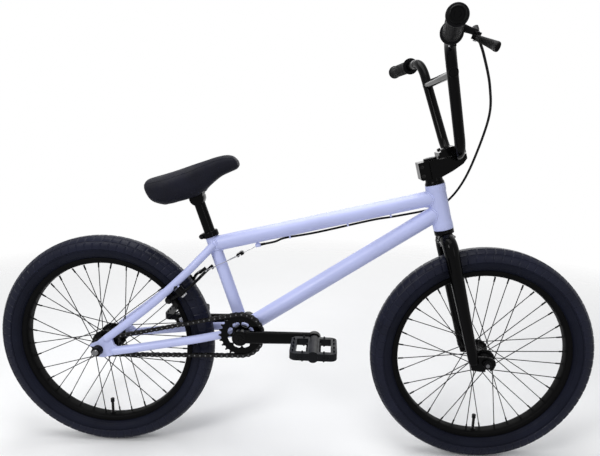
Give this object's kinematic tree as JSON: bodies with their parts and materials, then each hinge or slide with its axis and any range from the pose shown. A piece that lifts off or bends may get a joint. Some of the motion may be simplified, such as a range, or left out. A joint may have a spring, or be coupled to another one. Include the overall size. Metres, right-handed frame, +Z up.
{
  "type": "freestyle bmx bicycle",
  "caption": "Low freestyle bicycle with a compact frame, high handlebar with crossbar, short cranks and a rear rim brake, for tricks and street riding.",
  "frame": {"origin": "on the ground, midway between the two axles, in the middle plane", "axes": "+X forward, +Y to the rider's left, +Z up; the chain is on -Y"},
  "size_m": [1.414, 0.749, 0.9576],
  "materials": {
    "lavender_paint": "matte",
    "gloss_black_paint": "gloss",
    "satin_black_parts": "satin black anodised",
    "tyre_rubber": "matte",
    "inner_tube_rubber": "satin",
    "grip_rubber": "matte",
    "black_spokes": "satin",
    "bright_steel": "satin",
    "chain_steel": "dark satin",
    "moulded_black_plastic": "matte",
    "cable_housing_plastic": "gloss",
    "brake_pad_rubber": "matte",
    "saddle_fabric": "matte woven"
  },
  "bodies": {
    "frame_body": {"frame": "lavender_paint", "seat_clamp": "gloss_black_paint", "lower_head_bearing": "bright_steel", "upper_head_bearing": "bright_steel", "bb_bearing_right": "bright_steel", "bb_bearing_left": "bright_steel", "chain": "chain_steel", "brake_cable_housing": "cable_housing_plastic", "brake_pivot_bolt_right": "bright_steel", "brake_pivot_bolt_left": "bright_steel", "rear_axle": "satin_black_parts", "rear_axle_nut_right": "satin_black_parts", "rear_axle_nut_left": "satin_black_parts"},
    "seat_post": {"seat_post": "gloss_black_paint", "saddle_pivot_bolt": "bright_steel"},
    "saddle": {"saddle_cover": "saddle_fabric", "saddle_base": "moulded_black_plastic"},
    "steering": {"fork": "gloss_black_paint", "upper_bearing_cover": "gloss_black_paint", "stem_body": "satin_black_parts", "stem_top_plate": "satin_black_parts", "steerer_top_cap": "satin_black_parts", "handlebar": "gloss_black_paint", "grip_right": "grip_rubber", "grip_left": "grip_rubber", "bar_end_plug_right": "moulded_black_plastic", "bar_end_plug_left": "moulded_black_plastic", "lever_perch": "satin_black_parts", "barrel_adjuster": "satin_black_parts", "front_axle": "satin_black_parts", "front_axle_nut_right": "satin_black_parts", "front_axle_nut_left": "satin_black_parts"},
    "brake_lever": {"brake_lever": "satin_black_parts"},
    "front_wheel": {"front_hub_shell": "satin_black_parts", "front_spokes_right": "black_spokes", "front_spokes_left": "black_spokes", "front_rim": "satin_black_parts", "front_tyre": "tyre_rubber", "front_inner_tube": "inner_tube_rubber"},
    "rear_wheel": {"rear_hub_shell": "satin_black_parts", "rear_spokes_right": "black_spokes", "rear_spokes_left": "black_spokes", "rear_rim": "satin_black_parts", "rear_tyre": "tyre_rubber", "rear_inner_tube": "inner_tube_rubber"},
    "driver": {"rear_driver": "chain_steel"},
    "crank": {"crank_spindle": "bright_steel", "crank_arm_right": "gloss_black_paint", "crank_arm_left": "gloss_black_paint", "sprocket": "satin_black_parts", "pedal_axle_right": "bright_steel", "pedal_axle_left": "bright_steel"},
    "pedal_right": {"pedal_body_right": "moulded_black_plastic"},
    "pedal_left": {"pedal_body_left": "moulded_black_plastic"},
    "brake_arm_right": {"brake_arm_right": "satin_black_parts", "brake_pad_right": "brake_pad_rubber"},
    "brake_arm_left": {"brake_arm_left": "satin_black_parts", "brake_pad_left": "brake_pad_rubber"},
    "yoke": {"straddle_yoke": "bright_steel", "straddle_wire": "bright_steel"}
  },
  "joints": [
    {"name": "steering_turn", "type": "hinge", "parent": "frame_body", "child": "steering", "pos_m": [0.42082, 0, 0.25299], "axis": [-0.2588, 0, 0.9659], "range_deg": [-90, 90], "deforming": ["brake_cable_housing"]},
    {"name": "front_wheel_spin", "type": "hinge", "parent": "steering", "child": "front_wheel", "pos_m": [0.447, 0, 0.26], "axis": [0, 1, 0], "continuous": true},
    {"name": "rear_wheel_spin", "type": "hinge", "parent": "frame_body", "child": "rear_wheel", "pos_m": [-0.447, 0, 0.26], "axis": [0, 1, 0], "continuous": true},
    {"name": "crank_spin", "type": "hinge", "parent": "frame_body", "child": "crank", "pos_m": [-0.11534, 0, 0.3035], "axis": [0, 1, 0], "continuous": true, "deforming": ["chain"]},
    {"name": "driver_spin", "type": "hinge", "parent": "frame_body", "child": "driver", "pos_m": [-0.447, 0, 0.26], "axis": [0, 1, 0], "continuous": true},
    {"name": "pedal_right_spin", "type": "hinge", "parent": "crank", "child": "pedal_right", "pos_m": [0.05443, -0.1255, 0.3124], "axis": [0, 1, 0], "continuous": true},
    {"name": "pedal_left_spin", "type": "hinge", "parent": "crank", "child": "pedal_left", "pos_m": [-0.28511, 0.1255, 0.2946], "axis": [0, 1, 0], "continuous": true},
    {"name": "brake_lever_pull", "type": "hinge", "parent": "steering", "child": "brake_lever", "pos_m": [0.31727, -0.22413, 0.93112], "axis": [-0.2802, 0.2583, -0.9245], "range_deg": [0, 18], "stiffness_Nm_per_rad": 2, "springref_deg": -20.05},
    {"name": "brake_arm_right_swing", "type": "hinge", "parent": "frame_body", "child": "brake_arm_right", "pos_m": [-0.27109, -0.045, 0.4212], "axis": [0.6756, 0, -0.7373], "range_deg": [0, 2.61]},
    {"name": "brake_arm_left_swing", "type": "hinge", "parent": "frame_body", "child": "brake_arm_left", "pos_m": [-0.27109, 0.045, 0.4212], "axis": [-0.6756, 0, 0.7373], "range_deg": [0, 2.61]},
    {"name": "yoke_pull", "type": "slide", "parent": "frame_body", "child": "yoke", "axis": [0.8703, 0, 0.4924], "range_m": [0, 0.0035]},
    {"name": "seat_post_height", "type": "slide", "parent": "frame_body", "child": "seat_post", "axis": [-0.3256, 0, 0.9455], "range_m": [-0.045, 0.03]},
    {"name": "saddle_tilt", "type": "hinge", "parent": "seat_post", "child": "saddle", "pos_m": [-0.22213, 0, 0.61363], "axis": [0, 1, 0], "range_deg": [-15, 15]}
  ],
  "couplings": [
    {"joint": "driver_spin", "follows": "crank_spin", "ratio": 2.7778},
    {"joint": "brake_arm_right_swing", "follows": "brake_lever_pull", "ratio": 0.1445},
    {"joint": "brake_arm_left_swing", "follows": "brake_lever_pull", "ratio": 0.1445},
    {"joint": "yoke_pull", "follows": "brake_lever_pull", "m_per_rad": 0.0108}
  ]
}
